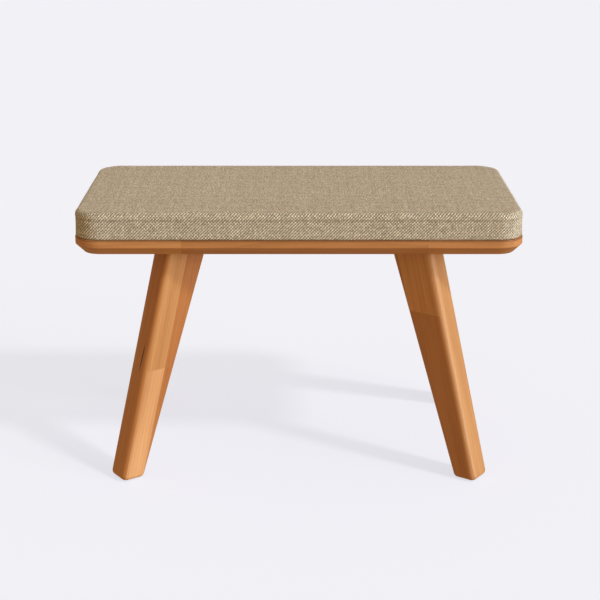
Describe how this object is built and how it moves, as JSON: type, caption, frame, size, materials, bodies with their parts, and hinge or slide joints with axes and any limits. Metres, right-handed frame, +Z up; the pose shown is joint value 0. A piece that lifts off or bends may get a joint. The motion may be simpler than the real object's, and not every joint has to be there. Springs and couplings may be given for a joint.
{
  "type": "kneeling bench",
  "caption": "Low padded bench: solid wood board with rounded corners and a chamfered underside, splayed tapered legs, and a flat boxed fabric pad that lifts off.",
  "frame": {"origin": "on the floor under the centre of the bench", "axes": "+Z up, +X to the right along the bench's length, -Y towards its front"},
  "size_m": [0.68, 0.372, 0.43],
  "materials": {
    "oiled_wood": "oiled satin",
    "dowel_wood": "planed",
    "zinc_steel": "zinc plated",
    "glide_plastic": "moulded",
    "hook_tape": "woven tape with nylon hooks",
    "loop_tape": "brushed nylon loops",
    "dust_cloth": "non-woven cloth",
    "plywood": "sanded",
    "foam": "open-cell foam",
    "wadding": "polyester fibre",
    "woven_fabric": "coarse diagonal weave, heathered beige and grey-brown",
    "sewing_thread": "twisted thread"
  },
  "bodies": {
    "stand": {"seat_board": "oiled_wood", "leg_front_left": "oiled_wood", "leg_front_right": "oiled_wood", "leg_rear_left": "oiled_wood", "leg_rear_right": "oiled_wood", "leg_dowels": "dowel_wood", "leg_bolts": "zinc_steel", "flat_washers": "zinc_steel", "lock_washers": "zinc_steel", "threaded_inserts": "zinc_steel", "foot_glides": "glide_plastic", "glide_pins": "zinc_steel", "hook_strips": "hook_tape"},
    "pad": {"loop_strips": "loop_tape", "dust_cover": "dust_cloth", "dust_cover_staples": "zinc_steel", "cover_staples": "zinc_steel", "pad_base_board": "plywood", "foam_block": "foam", "wadding_layer": "wadding", "cover_boxing": "woven_fabric", "cover_top_panel": "woven_fabric", "seam_thread": "sewing_thread"}
  },
  "joints": [
    {"name": "pad_lift", "type": "slide", "parent": "stand", "child": "pad", "axis": [0, 0, 1], "range_m": [0, 0.12]}
  ]
}
